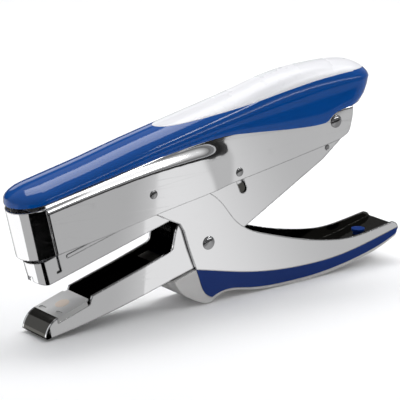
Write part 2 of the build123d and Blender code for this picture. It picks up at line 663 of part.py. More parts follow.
with BuildPart() as magazine_channel:
    with BuildSketch(magazine_deck):
        add(magazine_plan(0))
    extrude(amount=magazine_height)
    with BuildSketch(magazine_deck.offset(magazine_sheet)):
        add(magazine_plan(magazine_sheet))
    extrude(amount=magazine_height, mode=Mode.SUBTRACT)
    with BuildSketch(magazine_deck):
        # the staple's way out through the floor
        add(magazine_plan(magazine_sheet))
        with Locations((-1.75, 0)):
            Rectangle(4.5, magazine_width, mode=Mode.INTERSECT)
    extrude(amount=magazine_sheet, mode=Mode.SUBTRACT)
    with BuildSketch(magazine_side):
        with BuildLine():
            # the prongs' rounded feet
            ThreePointArc((-6.0, 4.0), (-4.4, 1.1), (-1.6, 0.0))
            Polyline((-1.6, 0.0), (-1.6, -2.0), (-9.0, -2.0), (-9.0, 4.0), (-6.0, 4.0))
        make_face()
        with BuildLine():
            # the low rear end
            Polyline((112.0, magazine_height), (magazine_length + 1, 9.4), (magazine_length + 1, 20.0),
                     (112.0, 20.0), (112.0, magazine_height))
        make_face()
        with Locations((hinge_u, hinge_v)):
            Circle(tail_radius + running_clearance)
        with Locations((5.7, 7.2)):
            Rectangle(0.8, 8.0)
        with Locations((4.9, 3.6)):
            Rectangle(2.2, 0.8)
    extrude(amount=magazine_width, both=True, mode=Mode.SUBTRACT)
    with BuildSketch(magazine_deck.offset(-1)):
        with Locations((-5.0, 0)):
            Rectangle(6.0, 3.4)
    extrude(amount=5.0, mode=Mode.SUBTRACT)
    for side in (-1, 1):
        # a bead pressed out of each side wall
        with BuildSketch(Plane(origin=magazine_side.origin, x_dir=magazine_side.x_dir,
                               z_dir=(0, -1, 0)).offset(side * magazine_width / 2)):
            with Locations((34.0, 8.3)):
                SlotOverall(48.0, 1.6)
        extrude(amount=side * (side_gap - slide_clearance))

with BuildPart() as staple_rail:
    with BuildSketch(magazine_side):
        with BuildLine():
            Polyline((-0.3, rail_top), (rail_end_u, rail_top), (rail_end_u, magazine_sheet),
                     (rail_end_u - 6, magazine_sheet), (rail_end_u - 6, 1.6), (6.0, 1.6),
                     (6.0, magazine_sheet), (0.8, magazine_sheet), (-0.3, 2.6), close=True)
        make_face()
    extrude(amount=rail_half_width, both=True)
    with BuildSketch(magazine_side):
        with Locations((rail_end_u / 2, (rail_top - rail_sheet) / 2 - 5)):
            Rectangle(2 * everywhere, rail_top - rail_sheet + 10)
    extrude(amount=rail_half_width - rail_sheet, both=True, mode=Mode.SUBTRACT)
    with BuildSketch(magazine_side):
        with Locations((6.4, (rail_top + 1.6) / 2)):
            Rectangle(0.8, rail_top - 1.6)
    extrude(amount=rail_half_width - 0.1, both=True)
    with BuildSketch(Plane(origin=magazine_side.origin, x_dir=(0, 1, 0), z_dir=magazine_side.x_dir)):
        with Locations((0, 4.4)):
            Circle(rod_radius)
    extrude(amount=20, mode=Mode.SUBTRACT)

strip_front = -0.25
with BuildPart() as staple_strip:
    with BuildSketch(magazine_side):
        with Locations((strip_front + strip_length / 2, (rail_top + staple_wire + 2.8) / 2)):
            Rectangle(strip_length, rail_top + staple_wire - 2.8)
    extrude(amount=rail_half_width + 0.05 + staple_wire, both=True)
    with BuildSketch(magazine_side):
        with Locations((strip_front + strip_length / 2, rail_top / 2)):
            Rectangle(strip_length + 2, rail_top)
    extrude(amount=rail_half_width + 0.05, both=True, mode=Mode.SUBTRACT)

pusher_front = strip_front + strip_length + slide_clearance
pusher_middle = pusher_front + pusher_length / 2
with BuildPart() as pusher:
    with BuildSketch(magazine_side):
        with Locations((pusher_middle, (magazine_sheet + 0.1 + 9.9) / 2)):
            Rectangle(pusher_length, 9.9 - magazine_sheet - 0.1)
    extrude(amount=pusher_half_width, both=True)
    with BuildSketch(magazine_side):
        with Locations((pusher_middle, (1.5 + rail_top + slide_clearance) / 2)):
            Rectangle(pusher_length + 2, rail_top + slide_clearance - 1.5)
    extrude(amount=rail_half_width + slide_clearance, both=True, mode=Mode.SUBTRACT)
    with BuildSketch(magazine_side):
        with Locations((pusher_middle, (1.5 + 7.2) / 2)):
            Rectangle(pusher_length, 7.2 - 1.5)
    extrude(amount=rail_half_width - rail_sheet - 0.3, both=True)
    with BuildSketch(Plane(origin=magazine_side.origin, x_dir=(0, 1, 0), z_dir=magazine_side.x_dir)):
        with Locations((0, 4.4)):
            Circle(rod_radius + running_clearance)
    extrude(amount=100, mode=Mode.SUBTRACT)

with BuildPart() as pusher_rod:
    with BuildSketch(Plane(origin=magazine_side.origin, x_dir=(0, 1, 0), z_dir=magazine_side.x_dir).offset(6.0)):
        with Locations((0, 4.4)):
            Circle(rod_radius)
    extrude(amount=rail_end_u - 6.0)

with BuildPart() as magazine_block:
    with BuildSketch(magazine_side):
        with Locations((rail_end_u + block_length / 2, (magazine_sheet + 9.2) / 2)):
            Rectangle(block_length, 9.2 - magazine_sheet)
    extrude(amount=magazine_width / 2 - magazine_sheet, both=True)

with BuildPart() as pusher_spring:
    spring_start = pusher_front + pusher_length
    with BuildSketch(Plane(origin=magazine_side.origin, x_dir=(0, 1, 0), z_dir=magazine_side.x_dir).offset(
            spring_start)):
        with Locations((0, 4.4)):
            Circle(2.3)
            Circle(1.5, mode=Mode.SUBTRACT)
    extrude(amount=rail_end_u - spring_start)

with BuildPart() as magazine_bush:
    with BuildSketch(Plane.XZ):
        with Locations((tail_x, tail_z)):
            Circle(tail_radius + 1.1)
            Circle(tail_radius + running_clearance, mode=Mode.SUBTRACT)
    extrude(amount=magazine_width / 2 - magazine_sheet, both=True)

# ================================================================ out
pieces = [
    main_frame, anvil_plate, anvil_bridge, anvil_rivet, main_pivot_pin, pivot_spacer, tail_rivet,
    frame_pin, handle_channel, grip_inlay, grip_base, handle_spring, housing, nose_cap, top_cover,
    cover_insert, link_studs, guide_studs, driver_blade, driver_block, driver_rivets, lever_spring,
    magazine_channel, staple_rail, staple_strip, magazine_block, magazine_bush, pusher_rod,
    pusher_spring, pusher,
]
# The row's origin is under the middle of the whole stapler, on the surface that it stands on.
boxes = [piece.part.bounding_box() for piece in pieces]
shift = Vector(-(min(b.min.X for b in boxes) + max(b.max.X for b in boxes)) / 2, 0,
               -min(b.min.Z for b in boxes))
for piece in pieces:
    piece.part = Pos(shift) * piece.part

main_frame.part.label = "main_frame"
anvil_plate.part.label = "anvil_plate"
anvil_bridge.part.label = "anvil_bridge"
anvil_rivet.part.label = "anvil_rivet"
main_pivot_pin.part.label = "main_pivot_pin"
pivot_spacer.part.label = "pivot_spacer"
tail_rivet.part.label = "tail_rivet"
frame_pin.part.label = "frame_pin"
handle_channel.part.label = "handle_channel"
grip_inlay.part.label = "grip_inlay"
grip_base.part.label = "grip_base"
handle_spring.part.label = "handle_spring"
housing.part.label = "housing"
nose_cap.part.label = "nose_cap"
top_cover.part.label = "top_cover"
cover_insert.part.label = "cover_insert"
link_studs.part.label = "link_studs"
guide_studs.part.label = "guide_studs"
driver_blade.part.label = "driver_blade"
driver_block.part.label = "driver_block"
driver_rivets.part.label = "driver_rivets"
lever_spring.part.label = "lever_spring"
magazine_channel.part.label = "magazine_channel"
staple_rail.part.label = "staple_rail"
staple_strip.part.label = "staple_strip"
magazine_block.part.label = "magazine_block"
magazine_bush.part.label = "magazine_bush"
pusher_rod.part.label = "pusher_rod"
pusher_spring.part.label = "pusher_spring"
pusher.part.label = "pusher"

os.makedirs("parts", exist_ok=True)
export_step(main_frame.part, "parts/main_frame.step")
export_step(anvil_plate.part, "parts/anvil_plate.step")
export_step(anvil_bridge.part, "parts/anvil_bridge.step")
export_step(anvil_rivet.part, "parts/anvil_rivet.step")
export_step(main_pivot_pin.part, "parts/main_pivot_pin.step")
export_step(pivot_spacer.part, "parts/pivot_spacer.step")
export_step(tail_rivet.part, "parts/tail_rivet.step")
export_step(frame_pin.part, "parts/frame_pin.step")
export_step(handle_channel.part, "parts/handle_channel.step")
export_step(grip_inlay.part, "parts/grip_inlay.step")
export_step(grip_base.part, "parts/grip_base.step")
export_step(handle_spring.part, "parts/handle_spring.step")
export_step(housing.part, "parts/housing.step")
export_step(nose_cap.part, "parts/nose_cap.step")
export_step(top_cover.part, "parts/top_cover.step")
export_step(cover_insert.part, "parts/cover_insert.step")
export_step(link_studs.part, "parts/link_studs.step")
export_step(guide_studs.part, "parts/guide_studs.step")
export_step(driver_blade.part, "parts/driver_blade.step")
export_step(driver_block.part, "parts/driver_block.step")
export_step(driver_rivets.part, "parts/driver_rivets.step")
export_step(lever_spring.part, "parts/lever_spring.step")
export_step(magazine_channel.part, "parts/magazine_channel.step")
export_step(staple_rail.part, "parts/staple_rail.step")
export_step(staple_strip.part, "parts/staple_strip.step")
export_step(magazine_block.part, "parts/magazine_block.step")
export_step(magazine_bush.part, "parts/magazine_bush.step")
export_step(pusher_rod.part, "parts/pusher_rod.step")
export_step(pusher_spring.part, "parts/pusher_spring.step")
export_step(pusher.part, "parts/pusher.step")

print("shift", shift)
for name, x, z in (("main pivot", 0, 0), ("tail rivet", tail_x, tail_z), ("link", link_x, link_z),
                   ("guide", guide_x, guide_z)):
    print(name, round(x + shift.X, 3), round(z + shift.Z, 3))
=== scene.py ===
import json
import math
import bpy
import bmesh
from mathutils import Matrix, Vector


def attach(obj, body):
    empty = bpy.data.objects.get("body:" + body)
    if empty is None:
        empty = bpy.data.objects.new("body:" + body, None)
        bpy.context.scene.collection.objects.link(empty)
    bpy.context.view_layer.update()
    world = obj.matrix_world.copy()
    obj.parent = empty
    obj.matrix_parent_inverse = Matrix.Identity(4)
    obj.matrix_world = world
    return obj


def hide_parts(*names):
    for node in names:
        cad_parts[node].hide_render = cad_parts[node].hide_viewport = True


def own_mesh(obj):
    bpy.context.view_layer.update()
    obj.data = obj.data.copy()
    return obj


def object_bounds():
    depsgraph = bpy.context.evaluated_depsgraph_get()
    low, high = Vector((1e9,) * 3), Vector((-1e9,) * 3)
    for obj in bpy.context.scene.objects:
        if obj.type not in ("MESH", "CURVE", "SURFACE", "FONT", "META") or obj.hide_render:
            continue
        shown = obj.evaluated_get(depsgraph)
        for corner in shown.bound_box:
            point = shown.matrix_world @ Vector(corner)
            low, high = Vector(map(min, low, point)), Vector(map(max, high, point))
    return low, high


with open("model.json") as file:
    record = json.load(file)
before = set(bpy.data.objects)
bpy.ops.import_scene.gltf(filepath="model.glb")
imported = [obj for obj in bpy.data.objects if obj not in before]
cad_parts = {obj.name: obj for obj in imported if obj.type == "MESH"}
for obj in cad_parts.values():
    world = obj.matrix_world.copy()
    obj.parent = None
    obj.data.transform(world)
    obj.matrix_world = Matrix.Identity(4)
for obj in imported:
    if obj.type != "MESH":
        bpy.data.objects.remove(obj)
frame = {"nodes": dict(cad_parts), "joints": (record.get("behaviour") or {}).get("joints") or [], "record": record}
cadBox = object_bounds()
joints = {joint["name"]: joint for joint in frame["joints"]}
mainPivot = Vector(joints["handle_squeeze"]["pos_m"])
slideAxis = Vector(joints["pusher_slide"]["axis"])
mm = 0.001


def place(x, y, z):
    # millimetres from the main pivot, with the nose towards -x
    return mainPivot + Vector((x, y, z)) * mm


# small tools for curves and meshes

def smoothStep(low, high, value):
    t = min(max((value - low) / (high - low), 0.0), 1.0)
    return t * t * (3 - 2 * t)


def along(points, x):
    # smooth curve through a few points, read at x (cubic, with slopes averaged between neighbours)
    if x <= points[0][0]:
        return points[0][1]
    if x >= points[-1][0]:
        return points[-1][1]
    slopes = [(b[1] - a[1]) / (b[0] - a[0]) for a, b in zip(points, points[1:])]
    tangents = [slopes[0]] + [(a + b) / 2 for a, b in zip(slopes, slopes[1:])] + [slopes[-1]]
    for i, (a, b) in enumerate(zip(points, points[1:])):
        if x <= b[0]:
            h = b[0] - a[0]
            t = (x - a[0]) / h
            return ((2 * t ** 3 - 3 * t ** 2 + 1) * a[1] + (t ** 3 - 2 * t ** 2 + t) * h * tangents[i]
                    + (-2 * t ** 3 + 3 * t ** 2) * b[1] + (t ** 3 - t ** 2) * h * tangents[i + 1])


def spread(low, high, count):
    return [low + (high - low) * i / (count - 1) for i in range(count)]


def pieceFromMesh(name, mesh, body, slot, *nodes, finish=None):
    piece = bpy.data.objects.new(name, mesh)
    bpy.context.scene.collection.objects.link(piece)
    mesh.materials.append(finishes[finish or slot])
    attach(piece, body)
    if nodes:
        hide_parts(*nodes)
    return piece


def smoothMesh(name, shape):
    mesh = bpy.data.meshes.new(name)
    shape.to_mesh(mesh)
    shape.free()
    for face in mesh.polygons:
        face.use_smooth = True
    return mesh


def gridMesh(name, rows):
    # rows of points to quads
    shape = bmesh.new()
    grid = [[shape.verts.new(p) for p in row] for row in rows]
    for lower, upper in zip(grid, grid[1:]):
        for i in range(len(rows[0]) - 1):
            shape.faces.new((lower[i], lower[i + 1], upper[i + 1], upper[i]))
    bmesh.ops.remove_doubles(shape, verts=shape.verts, dist=1e-6)
    bmesh.ops.recalc_face_normals(shape, faces=shape.faces)
    return smoothMesh(name, shape)


def addModifier(piece, kind, **settings):
    modifier = piece.modifiers.new(kind.lower(), kind)
    for key, value in settings.items():
        setattr(modifier, key, value)
    return modifier


def softenedCopy(node, body, slot, width, segments=2, angle=32, finish=None):
    # a copy of a pressed or moulded piece with its edges rounded
    source = frame["nodes"][node]
    shape = bmesh.new()
    shape.from_mesh(source.data)
    bmesh.ops.remove_doubles(shape, verts=shape.verts, dist=2e-6)
    bmesh.ops.dissolve_limit(shape, angle_limit=math.radians(0.1), verts=shape.verts, edges=shape.edges)
    mesh = smoothMesh(node + "Soft", shape)
    mesh.materials.clear()
    piece = pieceFromMesh(node + "Soft", mesh, body, slot, node, finish=finish)
    addModifier(piece, "BEVEL", width=width * mm, segments=segments, limit_method="ANGLE",
                angle_limit=math.radians(angle), use_clamp_overlap=True)
    addModifier(piece, "WEIGHTED_NORMAL", weight=100, keep_sharp=False)
    return piece


# shader node groups shared by several materials

def newGroup(name, inputs, outputs):
    group = bpy.data.node_groups.new(name, "ShaderNodeTree")
    for socketName, value in inputs.items():
        socket = group.interface.new_socket(name=socketName, in_out="INPUT", socket_type="NodeSocketFloat")
        socket.default_value = value
    for socketName in outputs:
        group.interface.new_socket(name=socketName, in_out="OUTPUT", socket_type="NodeSocketFloat")
    return group, group.nodes.new("NodeGroupInput"), group.nodes.new("NodeGroupOutput")


def makeHazeGroup():
    # handled surface: roughness drifts between two values
    group, ins, outs = newGroup("handlingHaze", {"Clean": 0.08, "Hazy": 0.2, "Scale": 60.0}, ["Roughness"])
    link = group.links.new
    coordinates = group.nodes.new("ShaderNodeTexCoord")
    broad = group.nodes.new("ShaderNodeTexNoise")
    broad.inputs["Detail"].default_value = 4
    broad.inputs["Roughness"].default_value = 0.6
    ramp = group.nodes.new("ShaderNodeMapRange")
    ramp.inputs["From Min"].default_value = 0.35
    ramp.inputs["From Max"].default_value = 0.75
    link(coordinates.outputs["Object"], broad.inputs["Vector"])
    link(ins.outputs["Scale"], broad.inputs["Scale"])
    link(broad.outputs["Fac"], ramp.inputs["Value"])
    link(ins.outputs["Clean"], ramp.inputs["To Min"])
    link(ins.outputs["Hazy"], ramp.inputs["To Max"])
    link(ramp.outputs["Result"], outs.inputs["Roughness"])
    return group


def makeMarksGroup():
    # fine drawn lines along the sheet, and a few stray scratches
    scales = {"Line Scale": 900.0, "Scratch Scale": 180.0}
    group, ins, outs = newGroup("drawnMarks", scales, ["Lines", "Scratches"])
    link = group.links.new
    coordinates = group.nodes.new("ShaderNodeTexCoord")
    stretch = group.nodes.new("ShaderNodeMapping")
    stretch.inputs["Scale"].default_value = (0.03, 1.0, 1.0)
    lines = group.nodes.new("ShaderNodeTexNoise")
    lines.inputs["Detail"].default_value = 2
    link(coordinates.outputs["Object"], stretch.inputs["Vector"])
    link(stretch.outputs["Vector"], lines.inputs["Vector"])
    link(ins.outputs["Line Scale"], lines.inputs["Scale"])
    turn = group.nodes.new("ShaderNodeMapping")
    turn.inputs["Rotation"].default_value = (0.0, 0.7, 0.0)
    turn.inputs["Scale"].default_value = (0.06, 1.0, 1.0)
    stray = group.nodes.new("ShaderNodeTexVoronoi")
    stray.feature = "DISTANCE_TO_EDGE"
    link(coordinates.outputs["Object"], turn.inputs["Vector"])
    link(turn.outputs["Vector"], stray.inputs["Vector"])
    link(ins.outputs["Scratch Scale"], stray.inputs["Scale"])
    thin = group.nodes.new("ShaderNodeMapRange")
    thin.inputs["From Min"].default_value = 0.0
    thin.inputs["From Max"].default_value = 0.02
    thin.inputs["To Min"].default_value = 1.0
    thin.inputs["To Max"].default_value = 0.0
    link(stray.outputs["Distance"], thin.inputs["Value"])
    link(lines.outputs["Fac"], outs.inputs["Lines"])
    link(thin.outputs["Result"], outs.inputs["Scratches"])
    return group


def makeEdgeWearAndShadeGroup():
    # edges, found by comparing the rounded and the true normal: on chrome and the rivets a painted dark outline
    # that stands in for the shade and dark reflection along rounded edges; lighter wear on the duller metals, and
    # simply paler edges on plastic
    group, ins, outs = newGroup("edgeWearAndShade", {"Radius": 0.0005, "Amount": 1.0}, ["Mask"])
    link = group.links.new
    rounded = group.nodes.new("ShaderNodeBevel")
    rounded.samples = 4
    geometry = group.nodes.new("ShaderNodeNewGeometry")
    compare = group.nodes.new("ShaderNodeVectorMath")
    compare.operation = "DOT_PRODUCT"
    ramp = group.nodes.new("ShaderNodeMapRange")
    ramp.inputs["From Min"].default_value = 0.997
    ramp.inputs["From Max"].default_value = 0.93
    breakUp = group.nodes.new("ShaderNodeTexNoise")
    breakUp.inputs["Scale"].default_value = 700.0
    strength = group.nodes.new("ShaderNodeMath")
    strength.operation = "MULTIPLY"
    both = group.nodes.new("ShaderNodeMath")
    both.operation = "MULTIPLY"
    coordinates = group.nodes.new("ShaderNodeTexCoord")
    link(ins.outputs["Radius"], rounded.inputs["Radius"])
    link(rounded.outputs["Normal"], compare.inputs[0])
    link(geometry.outputs["Normal"], compare.inputs[1])
    link(compare.outputs["Value"], ramp.inputs["Value"])
    link(coordinates.outputs["Object"], breakUp.inputs["Vector"])
    link(ramp.outputs["Result"], strength.inputs[0])
    link(ins.outputs["Amount"], strength.inputs[1])
    link(strength.outputs["Value"], both.inputs[0])
    link(breakUp.outputs["Fac"], both.inputs[1])
    link(both.outputs["Value"], outs.inputs["Mask"])
    return group


def makePelletGroup():
    # moulded plastic: a very fine skin and slow swells
    scales = {"Grain Scale": 2500.0, "Swell Scale": 35.0}
    group, ins, outs = newGroup("mouldedSkin", scales, ["Grain", "Swell"])
    link = group.links.new
    coordinates = group.nodes.new("ShaderNodeTexCoord")
    grain = group.nodes.new("ShaderNodeTexNoise")
    grain.inputs["Detail"].default_value = 3
    swell = group.nodes.new("ShaderNodeTexNoise")
    swell.inputs["Detail"].default_value = 1
    for texture, socketName in ((grain, "Grain Scale"), (swell, "Swell Scale")):
        link(coordinates.outputs["Object"], texture.inputs["Vector"])
        link(ins.outputs[socketName], texture.inputs["Scale"])
    link(grain.outputs["Fac"], outs.inputs["Grain"])
    link(swell.outputs["Fac"], outs.inputs["Swell"])
    return group


haze = makeHazeGroup()
marks = makeMarksGroup()
edges = makeEdgeWearAndShadeGroup()
skin = makePelletGroup()


def startMaterial(name):
    material = bpy.data.materials.new(name)
    material.use_nodes = True
    return material, material.node_tree, material.node_tree.nodes["Principled BSDF"]


def placeGroup(tree, group, **values):
    node = tree.nodes.new("ShaderNodeGroup")
    node.node_tree = group
    for key, value in values.items():
        node.inputs[key.replace("_", " ")].default_value = value
    return node


def addBump(tree, shader, height, strength, distance):
    bump = tree.nodes.new("ShaderNodeBump")
    bump.inputs["Strength"].default_value = strength
    bump.inputs["Distance"].default_value = distance
    tree.links.new(height, bump.inputs["Height"])
    tree.links.new(bump.outputs["Normal"], shader.inputs["Normal"])
    return bump


def makePaintedInsideShadeGroup():
    # painted shade for the inside of a folded channel: everything nearer to the middle than Half is darkened
    group, ins, outs = newGroup("channelInsideShade", {"Half": 0.0083}, ["Mask"])
    link = group.links.new
    coordinates = group.nodes.new("ShaderNodeTexCoord")
    split = group.nodes.new("ShaderNodeSeparateXYZ")
    away = group.nodes.new("ShaderNodeMath")
    away.operation = "ABSOLUTE"
    ratio = group.nodes.new("ShaderNodeMath")
    ratio.operation = "DIVIDE"
    ramp = group.nodes.new("ShaderNodeMapRange")
    ramp.inputs["From Min"].default_value = 1.0
    ramp.inputs["From Max"].default_value = 0.97
    link(coordinates.outputs["Object"], split.inputs["Vector"])
    link(split.outputs["Y"], away.inputs[0])
    link(away.outputs["Value"], ratio.inputs[0])
    link(ins.outputs["Half"], ratio.inputs[1])
    link(ratio.outputs["Value"], ramp.inputs["Value"])
    link(ramp.outputs["Result"], outs.inputs["Mask"])
    return group


paintedInsideShade = makePaintedInsideShadeGroup()


def metalMaterial(name, base, edgeWearAndShadeColor, clean, hazy, lineBump=0.02, edge=0.6, scratch=0.08,
                  insideHalf=0.0, reach=0.0005):
    material, tree, shader = startMaterial(name)
    link = tree.links.new
    shader.inputs["Metallic"].default_value = 1.0
    hazeNode = placeGroup(tree, haze, Clean=clean, Hazy=hazy, Scale=45.0)
    marksNode = placeGroup(tree, marks)
    edgeWearAndShadeNode = placeGroup(tree, edges, Amount=edge, Radius=reach)
    mix = tree.nodes.new("ShaderNodeMix")
    mix.data_type = "RGBA"
    mix.inputs["A"].default_value = (*base, 1)
    # edge colour: on chrome and rivets it is near black, painted shade and reflection along the edges; on the
    # duller metals it is lighter wear
    mix.inputs["B"].default_value = (*edgeWearAndShadeColor, 1)
    link(edgeWearAndShadeNode.outputs["Mask"], mix.inputs["Factor"])
    color = mix
    if insideHalf:
        paintedInsideShadeNode = placeGroup(tree, paintedInsideShade, Half=insideHalf)
        color = tree.nodes.new("ShaderNodeMix")
        color.data_type = "RGBA"
        # painted shade colour for the inside of the channel
        color.inputs["B"].default_value = (0.10, 0.097, 0.09, 1)
        link(paintedInsideShadeNode.outputs["Mask"], color.inputs["Factor"])
        link(mix.outputs["Result"], color.inputs["A"])
    link(color.outputs["Result"], shader.inputs["Base Color"])
    rougher = tree.nodes.new("ShaderNodeMath")
    rougher.operation = "MULTIPLY_ADD"
    rougher.inputs[1].default_value = scratch
    link(marksNode.outputs["Scratches"], rougher.inputs[0])
    link(hazeNode.outputs["Roughness"], rougher.inputs[2])
    link(rougher.outputs["Value"], shader.inputs["Roughness"])
    addBump(tree, shader, marksNode.outputs["Lines"], lineBump, 0.00005)
    return material


def plasticMaterial(name, base, deep, clean, hazy, coat=0.0, grain=0.05, edge=0.3, ior=1.42):
    material, tree, shader = startMaterial(name)
    link = tree.links.new
    shader.inputs["Coat Weight"].default_value = coat
    shader.inputs["Coat Roughness"].default_value = 0.03
    shader.inputs["IOR"].default_value = ior
    skinNode = placeGroup(tree, skin)
    hazeNode = placeGroup(tree, haze, Clean=clean, Hazy=hazy, Scale=30.0)
    edgeWearAndShadeNode = placeGroup(tree, edges, Amount=edge, Radius=0.0004)
    swell = tree.nodes.new("ShaderNodeMix")
    swell.data_type = "RGBA"
    swell.inputs["A"].default_value = (*base, 1)
    swell.inputs["B"].default_value = (*deep, 1)
    link(skinNode.outputs["Swell"], swell.inputs["Factor"])
    paleEdgeMix = tree.nodes.new("ShaderNodeMix")
    paleEdgeMix.data_type = "RGBA"
    paleEdgeMix.inputs["B"].default_value = tuple(min(1.0, c * 1.5 + 0.02) for c in base) + (1,)
    link(edgeWearAndShadeNode.outputs["Mask"], paleEdgeMix.inputs["Factor"])
    link(swell.outputs["Result"], paleEdgeMix.inputs["A"])
    link(paleEdgeMix.outputs["Result"], shader.inputs["Base Color"])
    link(hazeNode.outputs["Roughness"], shader.inputs["Roughness"])
    addBump(tree, shader, skinNode.outputs["Grain"], grain, 0.00004)
    return material


# chrome: the near-black edge colour paints a dark outline of shade and reflection along the rounded edges
chrome = {"base": (0.86, 0.86, 0.87), "clean": 0.035, "hazy": 0.075, "edge": 2.6}
finishes = {
    "chrome": metalMaterial("polishedChrome", edgeWearAndShadeColor=(0.04, 0.04, 0.04), reach=0.0007, **chrome),
    # insideHalf: where the painted shade inside the folded channel begins
    "frame_chrome": metalMaterial("frameChrome", edgeWearAndShadeColor=(0.06, 0.06, 0.06), reach=0.0009, insideHalf=0.0084,
                                  **chrome),
    "handle_chrome": metalMaterial("handleChrome", edgeWearAndShadeColor=(0.06, 0.06, 0.06), reach=0.0009, insideHalf=0.0099,
                                   **chrome),
    # rivets: the darker base and near-black edges paint the dark ring that polished domes reflect, a painted
    # reflection
    "rivet_steel": metalMaterial("rivetChrome", (0.34, 0.34, 0.345), (0.04, 0.04, 0.04), 0.08, 0.16,
                                 edge=1.5),
    "anvil_nickel": metalMaterial("satinNickel", (0.60, 0.60, 0.60), (0.74, 0.74, 0.73), 0.26, 0.38, 0.15),
    "rivet_copper": metalMaterial("copperedRivet", (0.66, 0.57, 0.50), (0.78, 0.70, 0.62), 0.28, 0.4, 0.12),
    "plain_steel": metalMaterial("zincedSteel", (0.42, 0.42, 0.43), (0.6, 0.6, 0.61), 0.24, 0.36, 0.12),
    "spring_steel": metalMaterial("springWire", (0.30, 0.31, 0.32), (0.5, 0.5, 0.51), 0.25, 0.38, 0.10),
    "staple_zinc": metalMaterial("stapleWire", (0.70, 0.71, 0.74), (0.84, 0.85, 0.88), 0.16, 0.28, 0.10),
    "cover_blue": plasticMaterial("glossBlue", (0.0, 0.068, 0.31), (0.0, 0.062, 0.285), 0.06, 0.10,
                                  coat=0.12, ior=1.34, edge=0.0),
    "cover_white": plasticMaterial("glossWhite", (0.80, 0.80, 0.82), (0.77, 0.77, 0.80), 0.24, 0.32,
                                   coat=0.06, edge=0.0),
    "grip_blue": plasticMaterial("satinBlue", (0.0, 0.027, 0.18), (0.0, 0.024, 0.16), 0.26, 0.36,
                                 grain=0.2, ior=1.26),
    "grip_grey": plasticMaterial("satinGrey", (0.62, 0.61, 0.60), (0.57, 0.56, 0.55), 0.34, 0.46, grain=0.25),
}
print("materials ready")

# floor, lights and camera

studio = {
    "floorSize": 6.0, "floorColor": (0.93, 0.93, 0.935),
    "worldColor": (0.95, 0.96, 0.98), "worldStrength": 0.6,
    "keyPower": 5.3, "stripPower": 2.2, "backPower": 0.5,
}


def buildFloor():
    shape = bmesh.new()
    bmesh.ops.create_grid(shape, x_segments=4, y_segments=4, size=studio["floorSize"] / 2)
    mesh = bpy.data.meshes.new("floor")
    shape.to_mesh(mesh)
    shape.free()
    floor = bpy.data.objects.new("floor", mesh)
    floor.location.z = cadBox[0][2] - 0.0002
    bpy.context.scene.collection.objects.link(floor)
    material, tree, shader = startMaterial("paleFloor")
    shader.inputs["Base Color"].default_value = (*studio["floorColor"], 1)
    shader.inputs["Roughness"].default_value = 0.9
    mesh.materials.append(material)


def buildWorld():
    world = bpy.data.worlds.new("studio")
    bpy.context.scene.world = world
    world.use_nodes = True
    background = world.node_tree.nodes["Background"]
    background.inputs["Color"].default_value = (*studio["worldColor"], 1)
    # brighter above and behind than in front
    tree = world.node_tree
    coordinates = tree.nodes.new("ShaderNodeTexCoord")
    reach = tree.nodes.new("ShaderNodeVectorMath")
    reach.operation = "DOT_PRODUCT"
    reach.inputs[1].default_value = (-0.2, 0.75, 0.63)
    fade = tree.nodes.new("ShaderNodeMapRange")
    fade.inputs["From Min"].default_value = -0.6
    fade.inputs["From Max"].default_value = 0.5
    fade.inputs["To Min"].default_value = studio["worldStrength"] * 0.35
    fade.inputs["To Max"].default_value = studio["worldStrength"]
    tree.links.new(coordinates.outputs["Generated"], reach.inputs[0])
    tree.links.new(reach.outputs["Value"], fade.inputs["Value"])
    tree.links.new(fade.outputs["Result"], background.inputs["Strength"])


def areaLight(name, position, target, size, power):
    data = bpy.data.lights.new(name, "AREA")
    data.shape = "RECTANGLE"
    data.size = size[0]
    data.size_y = size[1]
    data.energy = power
    light = bpy.data.objects.new(name, data)
    light.location = position
    light.rotation_euler = (Vector(target) - Vector(position)).to_track_quat("-Z", "Y").to_euler()
    bpy.context.scene.collection.objects.link(light)
    return light


def buildCamera():
    # azimuth -37 and elevation 16.5 degrees, from a long way off
    back = Vector((-0.5770, -0.7657, 0.2840))
    right = Vector((0.7986, -0.6018, 0.0))
    up = back.cross(right)
    data = bpy.data.cameras.new("camera")
    data.sensor_width = 36
    data.lens = 216
    camera = bpy.data.objects.new("camera", data)
    turn = Matrix((right, up, back)).transposed().to_4x4()
    camera.matrix_world = Matrix.Translation(mainPivot + Vector((-0.6099, -0.8137, 0.3184))) @ turn
    bpy.context.scene.collection.objects.link(camera)
    bpy.context.scene.camera = camera


